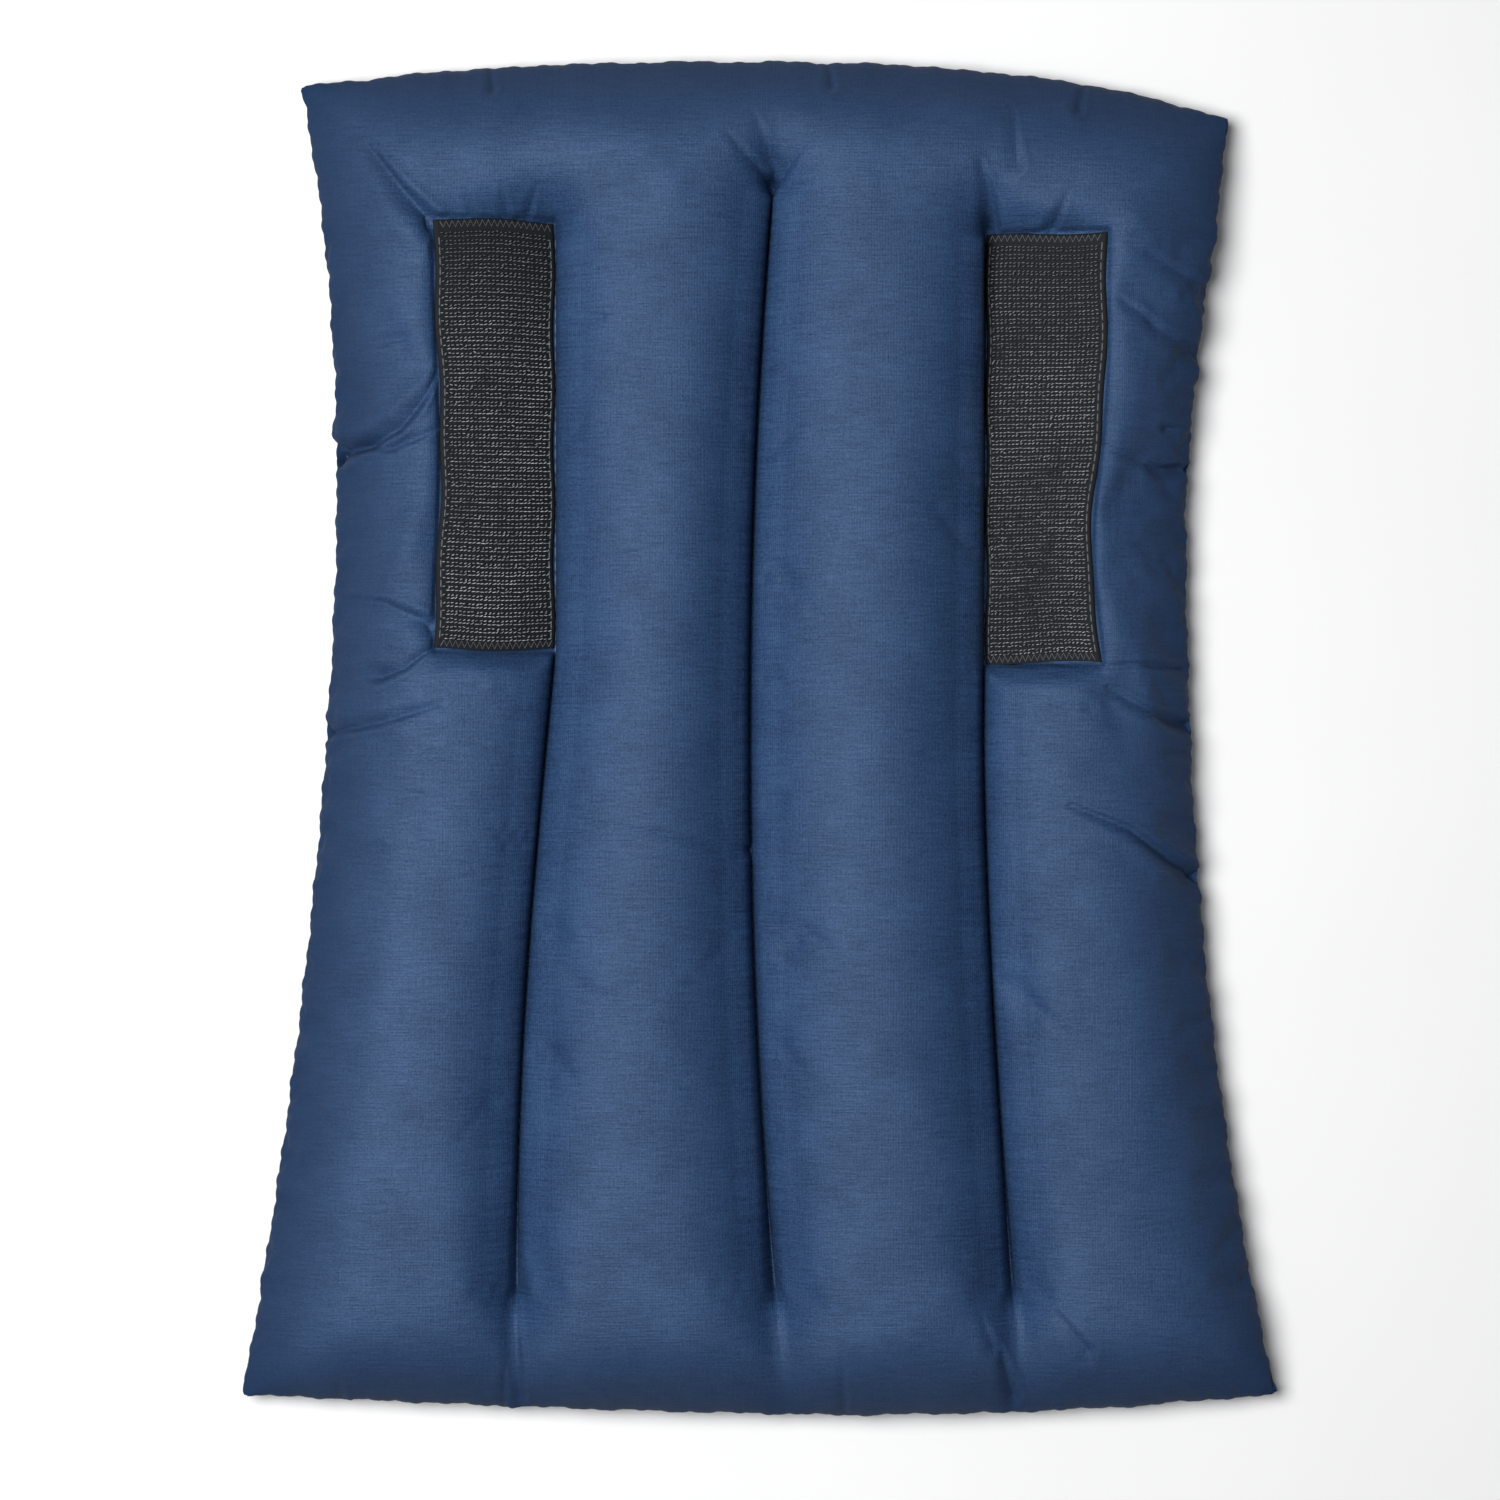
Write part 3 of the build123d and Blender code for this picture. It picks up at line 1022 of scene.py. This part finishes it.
def hook_shape():
    """One hook: a filament that rises, bends over and comes part of the way down."""
    out = (0, 0, 0.08, 0.36, 0.68, 0.8)
    up = (-0.1, 0.6, 1.0, 1.25, 1.14, 0.85)
    path = np.stack([out, np.zeros(len(out)), up], 1)
    thickness = np.array((1.0, 1.0, 1.0, 0.95, 0.9, 0.75)) * 0.13
    points, faces = tube(path, thickness, 5, (0, 1, 0))
    return points * MM, faces


def hook_field(name):
    """Every hook of a patch, in staggered rows, each a little out of true."""
    draw = random.Random(7 if name == "left" else 11)
    shape, faces = hook_shape()
    columns = int((tape_width - 2 * selvedge) / hook_column_pitch)
    rows = int((tape_length - 2 * end_margin) / hook_row_pitch)
    side = tape_plan[name]["side"]
    lean_x = np.array((math.cos(tape_lean), 0, side * math.sin(tape_lean)))
    lean_z = np.array((-side * math.sin(tape_lean), 0, math.cos(tape_lean)))
    hooks = []
    for row in range(rows):
        stagger = 0.25 if row % 2 else -0.25
        for column in range(columns):
            across = (selvedge + (column + 0.5 + stagger) * hook_column_pitch) / tape_width
            along = (end_margin + (row + 0.5) * hook_row_pitch) / tape_length
            root = tape_point(name, across, along, tape_thick)
            turn = draw.gauss(0, 0.25) + (math.pi if row % 2 else 0) + 0.3
            tilt = draw.gauss(0, 0.08)
            size = draw.gauss(1, 0.05)
            x = shape[:, 0] * math.cos(turn) - shape[:, 1] * math.sin(turn) + shape[:, 2] * tilt
            y = shape[:, 0] * math.sin(turn) + shape[:, 1] * math.cos(turn)
            spots = np.outer(x, lean_x) + np.outer(y, (0, 1, 0)) + np.outer(shape[:, 2], lean_z)
            hooks.append((root + size * spots, faces))
    return joined(hooks)


tape_yarn_pitch = 0.3


def tape_ground():
    """Charcoal nylon weave, with painted shade between its ribs."""
    finish = Finish("charcoal_tape")
    place = finish.place("cut")
    _, y, _ = finish.parts(place)
    fibre = finish.noise(place, 3.0, 3.0, (1, 3, 1))
    blotch = finish.noise(place, 0.25, 2.0)
    yarn = (y * (2 * math.pi / tape_yarn_pitch)).sine() * 0.5 + 0.5
    # Painted shade: the weave's rows darken between their ribs, where the relief is lowest.
    tone = fibre * 0.5 + blotch * 0.3 + yarn * 0.2
    colour = finish.mix(tone, (0.003, 0.004, 0.005, 1), (0.016, 0.019, 0.023, 1))
    sockets = {"Base Color": colour, "Roughness": 0.6 + fibre * 0.25, "Specular IOR Level": 0.2}
    return finish.surface(sockets, yarn * 0.6 + fibre * 0.6, 0.6, 0.1 * MM)


def hook_filament():
    """Smoke-grey nylon filament, rubbed at its tips, and darkened with painted shade towards the patch's
    top.
    """
    finish = Finish("nylon_filament")
    place = finish.add("TexCoord", output="Object")
    rubbed = finish.noise(place, 420.0, 2.0)
    batch = finish.noise(place, 35.0, 2.0)
    _, y, _ = finish.parts(place)
    # Painted shade: the hooks darken towards the patch's top.
    clear_of_painted_shade = ((0.155 - y) * 24).at_most(1.0)
    wear = (rubbed - 0.5) * 1.6 + (batch - 0.5) * 1.2 + 0.55
    tone = wear * (clear_of_painted_shade * 0.83 + 0.17)
    colour = finish.mix(tone, (0.035, 0.042, 0.047, 1), (0.52, 0.54, 0.55, 1))
    sockets = {"Base Color": colour, "Roughness": 0.32 + rubbed * 0.2}
    return finish.surface(sockets, rubbed, 0.2, 0.03 * MM)


charcoal_tape = tape_ground()
filament = hook_filament()
across_grid, along_grid = np.meshgrid(*(np.linspace(0, 1, count + 1) for count in tape_cells))
for name in tape_plan:
    top = tape_point(name, across_grid, along_grid, tape_thick + tape_relief(across_grid, along_grid))
    bottom = tape_point(name, across_grid, along_grid, np.zeros_like(across_grid))
    if tape_plan[name]["side"] < 0:
        top, bottom = top[:, ::-1], bottom[:, ::-1]
    tape = add_piece(f"hook_tape_{name}", *slab(top, bottom))
    lay_out = np.stack([across_grid * tape_width / MM, along_grid * tape_length / MM, 0 * along_grid], 2)
    add_place(tape, np.concatenate([lay_out.reshape(-1, 3)] * 2))
    tape.data.materials.append(charcoal_tape)
    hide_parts(f"{name}_hook_tape")
    hooks = add_piece(f"tape_hooks_{name}", *hook_field(name))
    hooks.data.materials.append(filament)
    for piece in (tape, hooks):
        bend(piece, name)

# --- Tape thread -----------------------------------------------------------------------------
# Dark thread holds each patch: a straight row down each selvedge, and a close zigzag over the
# cut ends so that they don't fray. Its bobbin thread lies under the face cloth.

tape_stitch_pitch = 3.0 * MM
tape_stitch_inset = 1.35 * MM
tape_stitch_rise = 0.12 * MM
tape_stitch_sink = 0.2 * MM
zigzag_margin = 1.0 * MM
zigzag_rise = 0.1 * MM
zigzag_radius = 0.17 * MM
zigzag_pitch = 0.95 * MM
zigzag_reach = (0.5 * MM, 2.4 * MM)

charcoal_thread = twisted_thread("charcoal_thread", (0.03, 0.034, 0.038, 1), (0.17, 0.18, 0.19, 1))


def selvedge_rows(name, height):
    """The two straight rows down the long sides."""
    along = np.linspace(0.02, 0.98, 200)
    inset = tape_stitch_inset / tape_width
    up = (0, 0, 1 if height > 0 else -1)
    shapes = []
    for across in (inset, 1 - inset):
        line = tape_point(name, np.full_like(along, across), along, height)
        shapes += stitches_on(line, tape_stitch_pitch, tape_stitch_rise, tape_stitch_sink, up)
    return shapes


def end_zigzags(name, height):
    """A zigzag over each cut end."""
    corners = np.arange(int((tape_width - 2 * zigzag_margin) / zigzag_pitch) + 1)
    across = (zigzag_margin + corners * zigzag_pitch) / tape_width
    reach = np.where(corners % 2, *zigzag_reach) / tape_length
    shapes = []
    for end in (0, 1):
        path = tape_point(name, across, np.abs(end - reach), height + zigzag_rise)
        shapes.append(tube(path, zigzag_radius, 5))
    return shapes


bobbin_depth = 0.6 * MM
for name in tape_plan:
    for spool, height in (("needle", tape_thick), ("bobbin", -bobbin_depth)):
        shapes = selvedge_rows(name, height) + end_zigzags(name, height)
        tape_thread = add_piece(f"tape_{spool}_thread_{name}", *joined(shapes))
        tape_thread.data.materials.append(charcoal_thread)
        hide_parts(f"{name}_tape_{spool}_thread")
        bend(tape_thread, name)

# --- Floor, light and camera -----------------------------------------------------------------
# A plain pale table, a large soft light high on the pad's left, a weak one to fill, and a long
# lens straight above the face.

floor_half = 3.0
floor_corners = [(x * floor_half, y * floor_half, 0) for x, y in ((-1, -1), (1, -1), (1, 1), (-1, 1))]
floor = add_piece("floor", floor_corners, [(0, 1, 2, 3)])


def pale_table():
    """Matt pale paint with a faint mottle."""
    finish = Finish("pale_table")
    mottle = finish.noise(finish.add("TexCoord", output="Object"), 9.0, 3.0)
    colour = finish.mix(mottle, (0.86, 0.86, 0.86, 1), (0.9, 0.9, 0.9, 1))
    return finish.surface({"Base Color": colour, "Roughness": 0.75}, mottle, 0.02, 1 * MM)


floor.data.materials.append(pale_table())

world = bpy.data.worlds.new("studio")
world.use_nodes = True
background = world.node_tree.nodes["Background"].inputs
background["Color"].default_value = (0.95, 0.97, 1, 1)
background["Strength"].default_value = 0.08
bpy.context.scene.world = world
bpy.context.scene.view_settings.view_transform = "Standard"


def soft_light(name, place, size, power):
    """A round soft light that faces the middle of the pad."""
    light = bpy.data.lights.new(name, "AREA")
    light.shape = "DISK"
    light.size = size
    light.energy = power
    lamp = bpy.data.objects.new(name, light)
    lamp.location = place
    lamp.rotation_euler = (-Vector(place)).to_track_quat("-Z", "Y").to_euler()
    bpy.context.scene.collection.objects.link(lamp)


soft_light("left_window", (-0.48, 0.12, 1.25), 0.9, 23)
soft_light("fill", (0.7, -0.4, 1.2), 1.2, 1.5)

camera_height = 1.6
frame_width = 0.45
camera = bpy.data.cameras.new("camera")
camera.sensor_width = 36
camera.lens = camera.sensor_width * camera_height / frame_width
viewpoint = bpy.data.objects.new("camera", camera)
viewpoint.location = (-3.0 * MM, -3.6 * MM, camera_height + seam_height)
bpy.context.scene.collection.objects.link(viewpoint)
bpy.context.scene.camera = viewpoint
